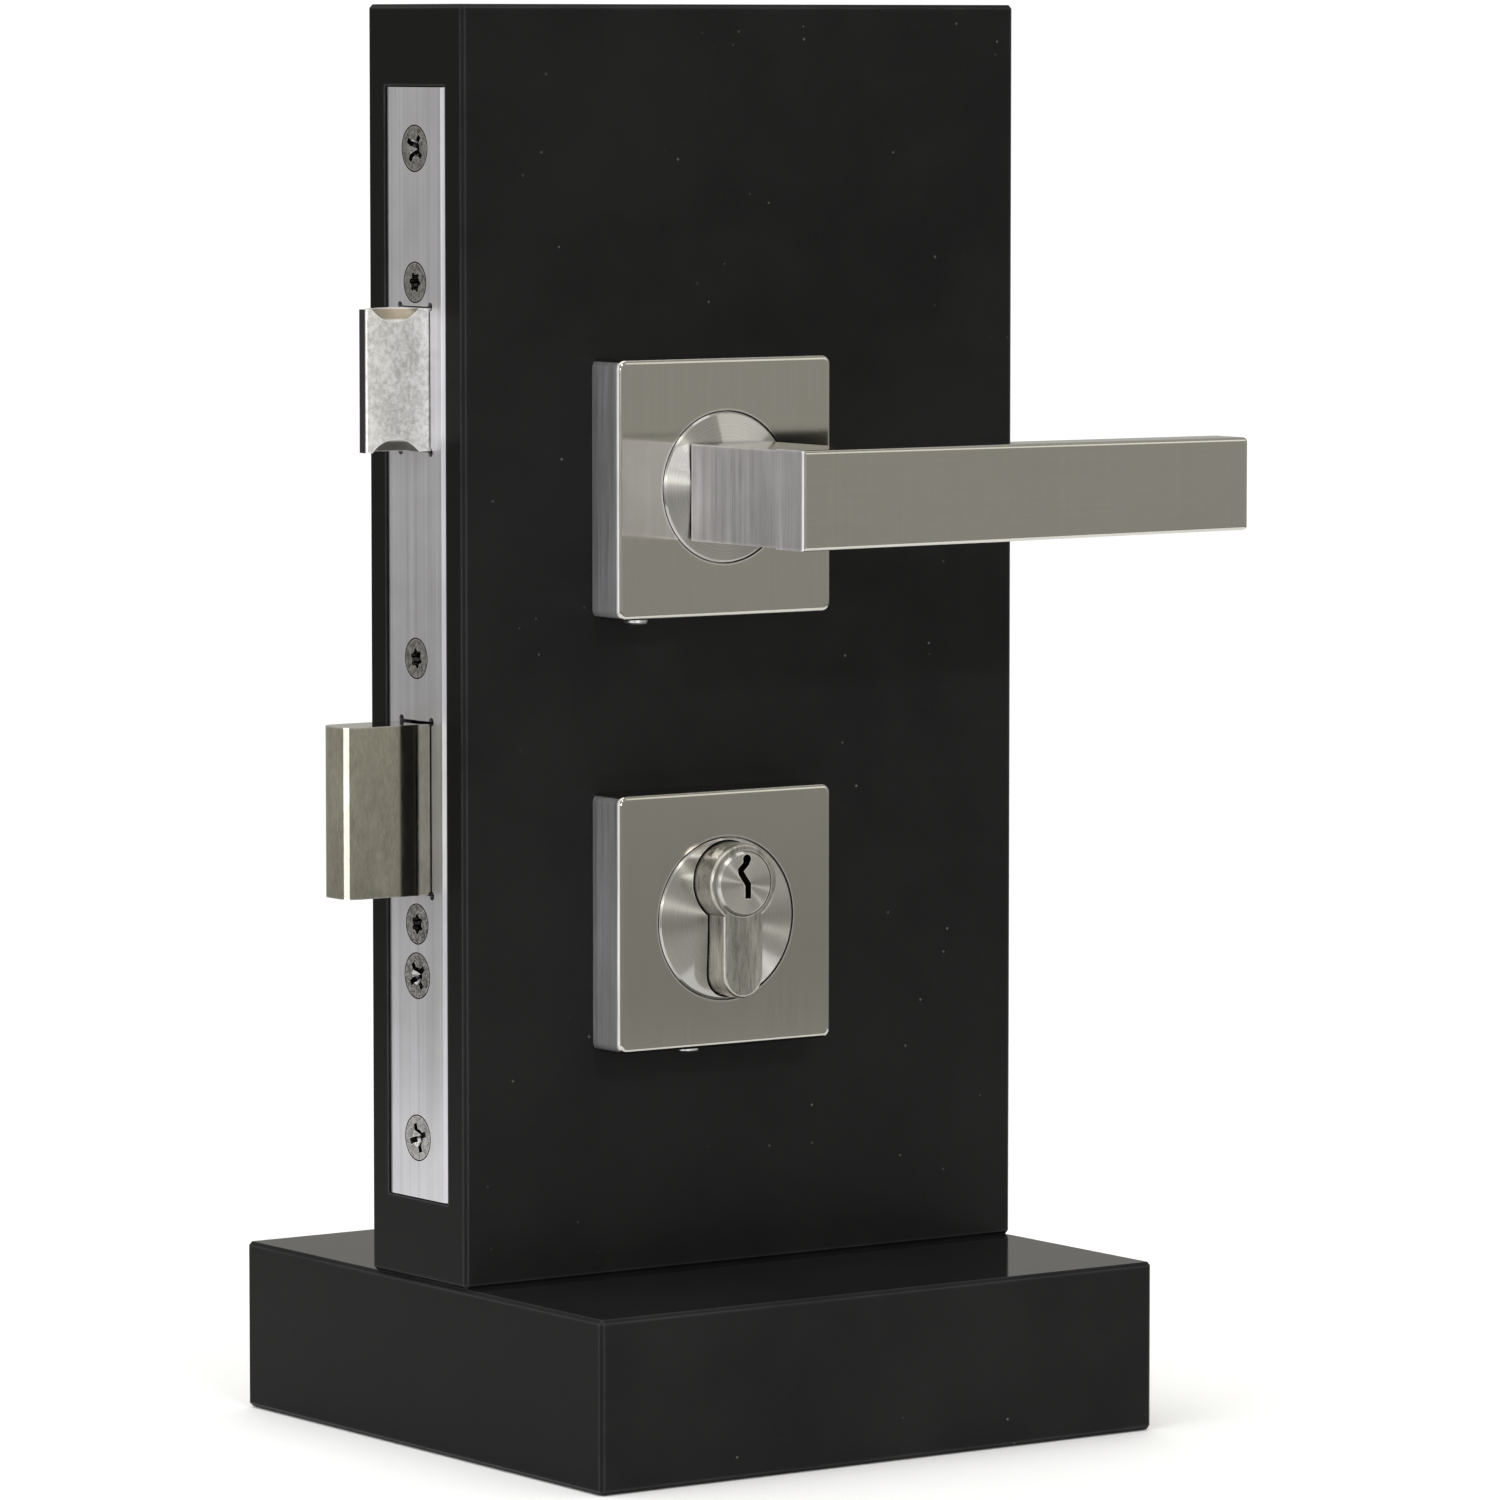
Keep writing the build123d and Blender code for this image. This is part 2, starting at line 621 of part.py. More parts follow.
def deadbolt():
    """The solid bolt head, with rounded corners at its tip."""
    low, high = BOLT_Z - DEADBOLT_HEIGHT / 2, BOLT_Z + DEADBOLT_HEIGHT / 2
    head = block(BOLT_TIP, BOLT_BACK, -BOLT_HALF, BOLT_HALF, low, high)
    tip_corners = head.edges().filter_by(Axis.Z).group_by(Axis.X)[0]
    head = fillet(tip_corners, DEADBOLT_TIP_RADIUS)
    half = BOLT_TAIL_HALF + TOUCH_FIT
    head -= block(
        BOLT_TAIL_FRONT,
        BOLT_BACK + 1,
        -half,
        half,
        TALON_LOW - TOUCH_FIT,
        BOLT_TAIL_TOP + TOUCH_FIT,
    )
    return pocketed(head, bolt_rivet_holes())


def deadbolt_tail():
    """The talon plate: the cam drives it by the two legs either side of the notch."""
    plate = block(
        BOLT_TAIL_FRONT, BOLT_TAIL_BACK, -BOLT_TAIL_HALF, BOLT_TAIL_HALF, TALON_LOW, BOLT_TAIL_TOP
    )
    plate -= block(TALON_FRONT, TALON_BACK, -9, 9, TALON_LOW - 1, TALON_TOP)
    return pocketed(plate, bolt_rivet_holes())


def deadbolt_rivets():
    return [
        rod_y(BOLT_RIVET_X, z, RIVET_RADIUS, -RIVET_HALF, RIVET_HALF) for z in BOLT_RIVET_HEIGHTS
    ]


def detent_spring():
    """A bent leaf spring over the talon plate, held in the case's rear wall."""
    low = BOLT_TAIL_TOP + 0.3
    back = CASE_REAR - CASE_WALL - 0.5
    path = Polyline(
        (back, low + 12.0),
        (back - 1.5, low + 6.0),
        (SPINDLE_X - 4.0, low + 3.0),
        (SPINDLE_X - 8.0, low + 0.4),
        (SPINDLE_X - 12.0, low + 3.0),
        (SPINDLE_X - 16.0, low + 3.6),
    )
    strip = trace(path, 0.6)
    return along_y(strip, -2.0, 2.0)


# ---- cylinder -----------------------------------------------------------------------------------


def pin_places(side):
    return [side * (FIRST_PIN - PIN_PITCH * step) for step in range(PIN_COUNT)]


def plug_bore(side):
    start, end = CAM_GAP / 2 - 1, HALF_CYLINDER + 1
    bore = rod_y(SPINDLE_X, PLUG_Z, PLUG_RADIUS + RUNNING_FIT, -end, -start)
    face = rod_y(
        SPINDLE_X, PLUG_Z, PLUG_FACE_RADIUS + RUNNING_FIT, -end, -HALF_CYLINDER + 1.5 + RUNNING_FIT
    )
    return mirrored(bore + face, side)


def cylinder_body():
    """The euro profile body, with its cam gap, plug bores and pin chambers."""
    body = along_y(at_plug(euro_profile()), -HALF_CYLINDER, HALF_CYLINDER)
    outer_faces = body.faces().filter_by(Axis.Y)
    body = fillet(outer_faces.edges(), 0.6)
    half_gap = CAM_GAP / 2
    gap_low = PLUG_Z - CAM_REACH - 0.7
    body -= block(SPINDLE_X - 20, SPINDLE_X + 20, -half_gap, half_gap, gap_low, PLUG_Z + 20)
    foot = PLUG_Z - PROFILE_HEIGHT
    for side in SIDES.values():
        body -= plug_bore(side)
        for y in pin_places(side):
            body -= rod_z(SPINDLE_X, y, PIN_RADIUS + RUNNING_FIT, foot, PLUG_Z - 3)
    thread = DOOR_SCREW[1] + RUNNING_FIT
    return body - rod_x(0, FIXING_SCREW_Z, thread, SPINDLE_X - 20, SPINDLE_X + 20)


def keyway():
    """The crooked key slot, in (X, Z) about the plug's axis, wider where the key's back enters."""
    path = Polyline((0.4, 5.4), (0.3, 4.4), (-1.2, 3.0), (-1.1, 2.3), (0.7, -0.2), (0.7, -3.2))
    return trace(path, 1.5) + Pos(0.4, 5.2) * Circle(1.05)


def plug(side):
    start = CAM_GAP / 2 + 0.1
    face = HALF_CYLINDER + PLUG_PROUD
    core = rod_y(SPINDLE_X, PLUG_Z, PLUG_RADIUS, -face, -start)
    core += rod_y(SPINDLE_X, PLUG_Z, PLUG_FACE_RADIUS, -face, -HALF_CYLINDER + 1.5)
    rim = core.faces().sort_by(Axis.Y)[0].edges()
    core = chamfer(rim, 0.6)
    core -= along_y(at_plug(keyway()), -face - 1, -start - 2.0)
    for y in pin_places(-1):
        core -= rod_z(SPINDLE_X, y, PIN_RADIUS + TOUCH_FIT, PLUG_Z - 9, PLUG_Z - 2.4)
    return mirrored(core, side)


def key_pins(side):
    pins = []
    for step, y in enumerate(pin_places(side)):
        top = PLUG_Z - 3.9 + 0.25 * (step % 3)
        pin = rod_z(SPINDLE_X, y, PIN_RADIUS, PLUG_Z - PLUG_RADIUS + 0.15, top)
        pins.append(chamfer(pin.edges().group_by(Axis.Z)[-1], 0.6))
    return pins


def driver_pins():
    top = PLUG_Z - PLUG_RADIUS - 0.3
    return [
        rod_z(SPINDLE_X, y, PIN_RADIUS, top - 4.5, top)
        for side in SIDES.values()
        for y in pin_places(side)
    ]


def pin_springs():
    bottom = PLUG_Z - PROFILE_HEIGHT + PROFILE_RADIUS + 2.8
    length = PLUG_Z - PLUG_RADIUS - 4.8 - bottom - 0.5
    spring = coil(1.0, 0.18, length, 6)
    return [
        Pos(SPINDLE_X, y, bottom + 0.25) * spring for side in SIDES.values() for y in pin_places(side)
    ]


def chamber_plugs():
    foot = PLUG_Z - PROFILE_HEIGHT + PROFILE_RADIUS
    return [
        rod_z(SPINDLE_X, y, PIN_RADIUS, foot + 0.4, foot + 2.7)
        for side in SIDES.values()
        for y in pin_places(side)
    ]


def cam():
    """The cam between the plugs, parked pointing straight down."""
    hub_radius = PROFILE_RADIUS - 0.1
    lobe = make_face(
        Polyline(
            (-3.5, 0),
            (-3.5, -hub_radius + 0.4),
            (-2.6, -CAM_REACH + 0.6),
            (2.6, -CAM_REACH + 0.6),
            (3.5, -hub_radius + 0.4),
            (3.5, 0),
            close=True,
        )
    )
    sketch = (Circle(hub_radius) + lobe) & Circle(CAM_REACH)
    sketch -= Circle(4.0)
    return along_y(at_plug(sketch), -CAM_HALF, CAM_HALF)


def cam_clutch():
    """The sliding dog inside the cam that couples it to the plug with the key in."""
    return tube_y(SPINDLE_X, PLUG_Z, 3.95, 1.2, -CAM_HALF + 0.5, CAM_HALF - 0.5)


# ---- handles ------------------------------------------------------------------------------------


def spindle():
    half = SPINDLE_SIZE / 2
    bar = block(
        SPINDLE_X - half,
        SPINDLE_X + half,
        -SPINDLE_END,
        SPINDLE_END,
        SPINDLE_Z - half,
        SPINDLE_Z + half,
    )
    return chamfer(bar.edges(), 0.4)


def lever(side):
    """The handle: a flat bar turned square off a short neck, on a round bearing shank."""
    left = SPINDLE_X - NECK_WIDTH / 2
    tip = SPINDLE_X + LEVER_TIP_TO_SPINDLE
    half, tip_half, neck_half = LEVER_HEIGHT / 2, LEVER_TIP_HEIGHT / 2, NECK_HEIGHT / 2
    outline = Polyline(
        (left, LEVER_Z - half),
        (tip, LEVER_Z - tip_half),
        (tip, LEVER_Z + tip_half),
        (left, LEVER_Z + half),
        close=True,
    )
    bar = along_y(make_face(outline), -LEVER_FRONT, -LEVER_FRONT + LEVER_THICKNESS)
    bar = fillet(bar.edges().filter_by(Axis.Y).group_by(Axis.X)[-1], 1.0)
    neck = block(
        left,
        left + NECK_WIDTH,
        -LEVER_FRONT + LEVER_THICKNESS / 2,
        -COLLAR_FACE,
        LEVER_Z - neck_half,
        LEVER_Z + neck_half,
    )
    handle = bar + neck
    handle = fillet(handle.faces().sort_by(Axis.Y)[0].edges(), 0.8)
    handle += rod_y(SPINDLE_X, SPINDLE_Z, SHANK_RADIUS, -COLLAR_FACE - 1, -SHANK_END)
    groove = tube_y(SPINDLE_X, SPINDLE_Z, 9.0, SHANK_RADIUS - 0.8, -FACE - 1.6, -FACE - 0.9)
    hole = SPINDLE_SIZE / 2 + RUNNING_FIT
    socket = block(
        SPINDLE_X - hole,
        SPINDLE_X + hole,
        -SPINDLE_END - 0.5,
        -FACE + 1,
        SPINDLE_Z - hole,
        SPINDLE_Z + hole,
    )
    under = LEVER_Z - neck_half - 1
    grub = rod_z(SPINDLE_X, -GRUB_Y, GRUB_RADIUS + TOUCH_FIT, under, SPINDLE_Z - hole + 0.5)
    return mirrored(pocketed(handle, [groove, socket, grub]), side)


def lever_grub_screws():
    low = LEVER_Z - NECK_HEIGHT / 2 + 0.4
    screw = grub_screw(GRUB_RADIUS, SPINDLE_Z - SPINDLE_SIZE / 2 - low)
    return [Pos(SPINDLE_X, side * GRUB_Y, low) * screw for side in SIDES.values()]


def disc_profile(radius, inner, back):
    """Half-section of a rose disc whose face rises gently from its rim to its middle."""
    return [
        (inner, -COLLAR_FACE),
        (inner, -back),
        (radius, -back),
        (radius, -ROSE_FACE + 0.1),
        (radius - 0.4, -ROSE_FACE - 0.2),
    ]


def lever_collar(side):
    disc = lathe_y(
        SPINDLE_X, SPINDLE_Z, disc_profile(COLLAR_RADIUS, SHANK_RADIUS + TOUCH_FIT, FACE + 7.4)
    )
    return mirrored(disc, side)


def cylinder_insert(side):
    """The round insert, pierced by the cylinder's profile, with a narrower spigot behind it."""
    disc = lathe_y(SPINDLE_X, LOWER_ROSE_Z, disc_profile(INSERT_RADIUS, 0.0, FACE + 7.2))
    disc += rod_y(SPINDLE_X, LOWER_ROSE_Z, SPIGOT_RADIUS, -FACE - 8.0, -FACE - 0.5)
    disc -= along_y(at_plug(euro_profile(0.35)), -ROSE_FACE - 5, 0)
    return mirrored(disc, side)


def rose_cover(z, opening, screw_offset, side):
    half = ROSE_SIZE / 2
    inner = half - ROSE_WALL
    shell = block(SPINDLE_X - half, SPINDLE_X + half, -ROSE_FACE, -FACE, z - half, z + half)
    shell = fillet(shell.edges().filter_by(Axis.Y), 2.0)
    shell = fillet(shell.faces().sort_by(Axis.Y)[0].edges(), 1.0)
    shell -= block(
        SPINDLE_X - inner,
        SPINDLE_X + inner,
        -ROSE_FACE + ROSE_WALL,
        -FACE + 1,
        z - inner,
        z + inner,
    )
    shell -= rod_y(SPINDLE_X, z, opening, -ROSE_FACE - 1, -FACE)
    shell -= rose_screw_hole(z, screw_offset)
    return mirrored(shell, side)


def rose_base_plate(z, bore, side):
    """The fixing plate under a rose cover, with its through-bolt holes."""
    half = ROSE_SIZE / 2 - ROSE_WALL - 0.1
    back, front = FACE, FACE + BASE_PLATE_THICKNESS
    plate = block(SPINDLE_X - half, SPINDLE_X + half, -front, -back, z - half, z + half)
    holes = [rod_y(SPINDLE_X, z, bore, -front - 1, -back + 1)]
    for x in POST_XS:
        if side < 0:
            holes.append(rod_y(x, z, POST_RADIUS + TOUCH_FIT, -front + 1.5, -back + 1))
        else:
            holes.append(facing(x, -front, z, (0, -1, 0)) * countersink(*ROSE_BOLT[:2], 8.0))
    return mirrored(pocketed(plate, holes), side)


def lever_base_plate(side):
    """The lever rose's plate, with recesses for the return spring and the retaining clip."""
    plate = mirrored(rose_base_plate(SPINDLE_Z, SHANK_RADIUS + RUNNING_FIT, side), side)
    front = FACE + BASE_PLATE_THICKNESS
    plate -= tube_y(SPINDLE_X, SPINDLE_Z, 13.2, 9.6, -front - 1, -front + 3.6)
    plate -= rod_y(SPINDLE_X, SPINDLE_Z, 11.2, -FACE - 2.0, -FACE + 1)
    plate -= rose_screw_hole(SPINDLE_Z, LEVER_ROSE_SCREW)
    return mirrored(plate, side)


def cylinder_base_plate(side):
    plate = mirrored(rose_base_plate(LOWER_ROSE_Z, SPIGOT_RADIUS + 0.1, side), side)
    plate -= along_y(at_plug(euro_profile(0.5)), -ROSE_FACE, 0)
    plate -= rose_screw_hole(LOWER_ROSE_Z, CYLINDER_ROSE_SCREW)
    return mirrored(plate, side)


def rose_screw_hole(z, offset):
    low = z - ROSE_SIZE / 2
    radius = ROSE_SCREW_RADIUS + TOUCH_FIT
    return rod_z(SPINDLE_X + offset, -FACE - ROSE_SCREW_DEPTH, radius, low - 1, low + ROSE_SCREW_HOLE_DEPTH)


def rose_grub_screws():
    """One set screw under each rose, standing just proud of its lower edge."""
    screw = grub_screw(ROSE_SCREW_RADIUS, ROSE_SCREW_HOLE_DEPTH - 0.5 + ROSE_SCREW_PROUD)
    screws = []
    for y in (-FACE - ROSE_SCREW_DEPTH, FACE + ROSE_SCREW_DEPTH):
        for z, offset in ((SPINDLE_Z, LEVER_ROSE_SCREW), (LOWER_ROSE_Z, CYLINDER_ROSE_SCREW)):
            screws.append(Pos(SPINDLE_X + offset, y, z - ROSE_SIZE / 2 - ROSE_SCREW_PROUD) * screw)
    return screws


def lever_return_spring(side):
    """The flat-wound torsion spring in the base plate's front recess."""
    spring = coil(11.4, 0.5, 2.2, 2)
    placed = facing(SPINDLE_X, -FACE - BASE_PLATE_THICKNESS + 0.7, SPINDLE_Z, (0, 1, 0)) * spring
    return mirrored(placed, side)


def lever_circlips():
    """Open rings that hold each lever's shank in its base plate."""
    clips = []
    for side in SIDES.values():
        ring = tube_y(SPINDLE_X, SPINDLE_Z, 10.4, SHANK_RADIUS - 0.75, -FACE - 1.55, -FACE - 0.95)
        ring -= block(SPINDLE_X - 2, SPINDLE_X + 2, -30, 0, SPINDLE_Z - 12, SPINDLE_Z - 5)
        clips.append(mirrored(ring, side))
    return clips


def rose_posts(z):
    """Threaded posts of the front rose, reaching through the door."""
    posts = []
    for x in POST_XS:
        post = rod_y(x, z, POST_RADIUS, -FACE - BASE_PLATE_THICKNESS + 1.6, POST_END)
        posts.append(post - rod_y(x, z, 2.0, -POST_END, POST_END + 1))
    return posts


def rose_bolts(z):
    """Countersunk bolts through the rear rose into the posts."""
    bolt = countersunk(*ROSE_BOLT) - cross_recess(*BOLT_CROSS)
    return [facing(x, FACE + BASE_PLATE_THICKNESS, z, (0, 1, 0)) * bolt for x in POST_XS]


# ---- the assembly -------------------------------------------------------------------------------


def build_nodes():
    nodes = {
        "stand_base": stand_base(),
        "door_block": door_block(),
        "stand_screws": stand_screws(),
        "forend": forend(),
        "inner_forend": inner_forend(),
        "door_fixing_screws": door_fixing_screws(),
        "forend_plate_screws": forend_plate_screws(),
        "cylinder_fixing_screw": cylinder_fixing_screw(),
        "lock_case": lock_case(),
        "case_cover": case_cover(),
        "case_screws": case_screws(),
        "latch_bolt": latch_bolt(),
        "latch_tail": latch_tail(),
        "latch_rivet": latch_rivet(),
        "latch_spring": latch_spring(),
        "follower": follower(),
        "follower_spring": follower_spring(),
        "deadbolt": deadbolt(),
        "deadbolt_tail": deadbolt_tail(),
        "deadbolt_rivets": deadbolt_rivets(),
        "detent_spring": detent_spring(),
        "cylinder_body": cylinder_body(),
        "cam": cam(),
        "cam_clutch": cam_clutch(),
        "driver_pins": driver_pins(),
        "pin_springs": pin_springs(),
        "chamber_plugs": chamber_plugs(),
        "spindle": spindle(),
        "lever_grub_screws": lever_grub_screws(),
        "lever_circlips": lever_circlips(),
        "rose_grub_screws": rose_grub_screws(),
        "lever_rose_posts": rose_posts(SPINDLE_Z),
        "lever_rose_bolts": rose_bolts(SPINDLE_Z),
        "cylinder_rose_posts": rose_posts(LOWER_ROSE_Z),
        "cylinder_rose_bolts": rose_bolts(LOWER_ROSE_Z),
    }
    lever_opening = COLLAR_RADIUS + SLIDE_GAP
    insert_opening = INSERT_RADIUS + SLIDE_GAP
    for name, side in SIDES.items():
        nodes[f"lever_{name}"] = lever(side)
        nodes[f"lever_collar_{name}"] = lever_collar(side)
        nodes[f"lever_rose_{name}"] = rose_cover(SPINDLE_Z, lever_opening, LEVER_ROSE_SCREW, side)
        nodes[f"lever_base_plate_{name}"] = lever_base_plate(side)
        nodes[f"lever_return_spring_{name}"] = lever_return_spring(side)
        nodes[f"cylinder_rose_{name}"] = rose_cover(
            LOWER_ROSE_Z, insert_opening, CYLINDER_ROSE_SCREW, side
        )
        nodes[f"cylinder_insert_{name}"] = cylinder_insert(side)
        nodes[f"cylinder_base_plate_{name}"] = cylinder_base_plate(side)
        nodes[f"plug_{name}"] = plug(side)
        nodes[f"key_pins_{name}"] = key_pins(side)
    return nodes


def main():
    os.makedirs("parts", exist_ok=True)
    for name, shape in build_nodes().items():
        solids = shape if isinstance(shape, list) else [shape]
        pieces = [solid for member in solids for solid in member.solids()]
        export_step(Compound(children=pieces, label=name), f"parts/{name}.step")


main()
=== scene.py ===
"""Looks for the mortice lock in its door block.

Materials, springs, floor, light and camera, all round the CAD frame in metres.
"""

import json
import math

import bpy
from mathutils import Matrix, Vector


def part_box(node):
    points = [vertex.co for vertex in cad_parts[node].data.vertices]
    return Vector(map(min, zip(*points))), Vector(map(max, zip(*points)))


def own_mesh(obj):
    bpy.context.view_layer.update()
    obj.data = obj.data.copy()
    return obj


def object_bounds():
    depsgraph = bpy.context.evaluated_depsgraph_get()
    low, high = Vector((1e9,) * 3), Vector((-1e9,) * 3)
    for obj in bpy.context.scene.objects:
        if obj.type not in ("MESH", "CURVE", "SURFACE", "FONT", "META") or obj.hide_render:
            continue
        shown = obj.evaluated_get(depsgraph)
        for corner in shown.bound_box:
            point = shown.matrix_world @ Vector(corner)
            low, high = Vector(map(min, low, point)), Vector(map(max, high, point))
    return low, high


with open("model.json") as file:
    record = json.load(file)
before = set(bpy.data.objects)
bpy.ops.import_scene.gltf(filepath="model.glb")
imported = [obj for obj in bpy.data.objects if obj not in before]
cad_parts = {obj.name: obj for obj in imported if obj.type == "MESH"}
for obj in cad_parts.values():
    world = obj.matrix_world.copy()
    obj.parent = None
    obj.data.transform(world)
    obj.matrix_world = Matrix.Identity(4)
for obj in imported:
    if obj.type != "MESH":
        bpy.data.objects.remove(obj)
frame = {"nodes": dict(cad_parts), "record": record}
cad_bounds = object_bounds()
NODES = frame["nodes"]
MM = 0.001

CREVICE_SHADE = (0.02, 0.018, 0.016)
LATCH_CREVICE_SHADE = (0.03, 0.028, 0.025)
SCREW_CREVICE_SHADE = (0.035, 0.032, 0.03)
RINGS_PER_METRE = 5200.0

WHITE_SEEN = 1.05
LIGHT_ABOVE = 0.48
LIGHT_BELOW = 0.30
LIGHT_FADES = (-0.13, -0.06)
LIGHT_COLOUR = (1.0, 0.985, 0.92)
COOL, PLAIN, WARM = (0.95, 0.95, 1.0), (1.0, 1.0, 1.0), (1.0, 0.98, 0.92)
MIDDLE = (0, 0, 0.16)
OVERHEAD_POWER = 2.2
OVERHEAD_SPREAD = math.radians(86)
OVERHEAD_LEAN = math.radians(-8)

FLOOR_SIZE = 1.0
FLOOR_GAP = 0.0002

CAMERA_PLACE = (-1.0168, -1.4672, 0.3007)
CAMERA_TURN = math.radians(35.10)
CAMERA_TILT = math.radians(-4.956)
CAMERA_LENS = 198.8
CAMERA_REACH = 30.0

# Each spring's fixed end along X, and the share of its length that is left with the lever down.
SPRINGS = {"latch_spring": (-0.024, 0.355), "follower_spring": (-0.04175, 0.6)}


# ---- shader helpers -----------------------------------------------------------------------------


class Shader:
    """A material under construction: its nodes, and short ways to add and join them."""

    def __init__(self, name):
        self.material = bpy.data.materials.new(name)
        self.material.use_nodes = True
        self.tree = self.material.node_tree
        self.surface = self.tree.nodes["Principled BSDF"]
        self.coordinates = self.tree.nodes.new("ShaderNodeTexCoord")

    def add(self, kind, **values):
        node = self.tree.nodes.new(kind)
        for name, value in values.items():
            setattr(node, name, value)
        return node

    def join(self, source, target):
        self.tree.links.new(source, target)

    def feed(self, node, name, value):
        """Links value to an input if it is a socket, or else sets it there."""
        if isinstance(value, bpy.types.NodeSocket):
            self.join(value, node.inputs[name])
        else:
            node.inputs[name].default_value = value

    def math(self, operation, first, second=0.0):
        node = self.add("ShaderNodeMath", operation=operation)
        for index, value in enumerate((first, second)):
            self.feed(node, index, value)
        return node.outputs[0]

    def times(self, first, second):
        return self.math("MULTIPLY", first, second)

    def place(self, scale):
        """Object coordinates in metres, scaled: a small scale along an axis stretches a texture."""
        mapping = self.add("ShaderNodeMapping")
        self.join(self.coordinates.outputs["Object"], mapping.inputs["Vector"])
        mapping.inputs["Scale"].default_value = scale
        return mapping.outputs[0]

    def noise(self, scale, detail=4.0, roughness=0.6, distortion=0.0):
        """Cloudy noise from 0 to 1; scale is cells per metre, one number or one for each axis."""
        if not isinstance(scale, tuple):
            scale = (scale, scale, scale)
        node = self.add("ShaderNodeTexNoise")
        self.join(self.place(scale), node.inputs["Vector"])
        node.inputs["Scale"].default_value = 1.0
        node.inputs["Detail"].default_value = detail
        node.inputs["Roughness"].default_value = roughness
        node.inputs["Distortion"].default_value = distortion
        return node.outputs["Fac"]

    def cells(self, scale):
        """Distance to the nearest of many scattered points, with that many cells per metre."""
        node = self.add("ShaderNodeTexVoronoi", feature="F1")
        self.join(self.place((scale, scale, scale)), node.inputs["Vector"])
        node.inputs["Scale"].default_value = 1.0
        return node.outputs["Distance"]

    def axes(self, vector):
        """The X, Y and Z outputs of a vector."""
        parts = self.add("ShaderNodeSeparateXYZ")
        self.join(vector, parts.inputs[0])
        return parts.outputs

    def remap(self, value, low, high, to_low=0.0, to_high=1.0):
        """Eases value from low..high to to_low..to_high, and holds it flat outside."""
        node = self.add("ShaderNodeMapRange", interpolation_type="SMOOTHSTEP")
        self.feed(node, "Value", value)
        for name, number in (
            ("From Min", low),
            ("From Max", high),
            ("To Min", to_low),
            ("To Max", to_high),
        ):
            self.feed(node, name, number)
        return node.outputs["Result"]

    def mix(self, factor, first, second):
        """A colour between two colours."""
        node = self.add("ShaderNodeMix", data_type="RGBA")
        self.feed(node, 0, factor)
        for index, value in ((6, first), (7, second)):
            if isinstance(value, tuple):
                value = (*value, 1.0)
            self.feed(node, index, value)
        return node.outputs[2]

    def blend(self, factor, first, second):
        """A number between two numbers."""
        node = self.add("ShaderNodeMix", data_type="FLOAT")
        self.feed(node, 0, factor)
        self.feed(node, 2, first)
        self.feed(node, 3, second)
        return node.outputs[0]

    def faces_along(self, axis):
        """1 on faces that look along one of the object's own axes, 0 elsewhere."""
        normal = self.axes(self.coordinates.outputs["Normal"])
        return self.remap(self.math("ABSOLUTE", normal[axis]), 0.6, 0.8)

    def stretch(self, vector):
        """Sets the direction, in the object's own axes, that reflections are blurred along."""
        turn = self.add("ShaderNodeVectorTransform", vector_type="VECTOR")
        turn.convert_from, turn.convert_to = "OBJECT", "WORLD"
        self.join(vector, turn.inputs[0])
        self.join(turn.outputs[0], self.surface.inputs["Tangent"])

    def across_grain(self):
        """Level and along the face: X on most faces and Y on those that look along X."""
        parts = self.add("ShaderNodeCombineXYZ")
        side = self.faces_along("X")
        self.join(self.math("SUBTRACT", 1.0, side), parts.inputs["X"])
        self.join(side, parts.inputs["Y"])
        return parts.outputs[0]

    def edges(self, radius, strength=6.0):
        """1 on sharp edges, within about that radius, and 0 on flat faces."""
        bevel = self.add("ShaderNodeBevel", samples=4)
        bevel.inputs["Radius"].default_value = radius
        geometry = self.add("ShaderNodeNewGeometry")
        dot = self.add("ShaderNodeVectorMath", operation="DOT_PRODUCT")
        self.join(bevel.outputs[0], dot.inputs[0])
        self.join(geometry.outputs["Normal"], dot.inputs[1])
        bend = self.math("SUBTRACT", 1.0, dot.outputs["Value"])
        return self.math("MINIMUM", self.times(bend, strength), 1.0)

    def crevice(self, reach, low=0.35, high=0.8):
        """1 down in gaps and steps about that deep, and 0 in the open."""
        open_sky = self.add("ShaderNodeAmbientOcclusion", samples=8)
        open_sky.inputs["Distance"].default_value = reach
        return self.remap(open_sky.outputs["AO"], low, high, 1.0, 0.0)

    def bump(self, height, distance, strength=1.0):
        node = self.add("ShaderNodeBump")
        self.join(height, node.inputs["Height"])
        node.inputs["Distance"].default_value = distance
        node.inputs["Strength"].default_value = strength
        return node.outputs[0]

    def finish(self, colour, roughness, normal=None, metal=1.0, **plain):
        """Wires up the surface; plain are numbers set on the shader's own sockets."""
        self.feed(self.surface, "Base Color", colour)
        self.feed(self.surface, "Roughness", roughness)
        self.surface.inputs["Metallic"].default_value = metal
        if normal is not None:
            self.join(normal, self.surface.inputs["Normal"])
        for name, value in plain.items():
            self.surface.inputs[name].default_value = value
        return self.material


# ---- materials ----------------------------------------------------------------------------------


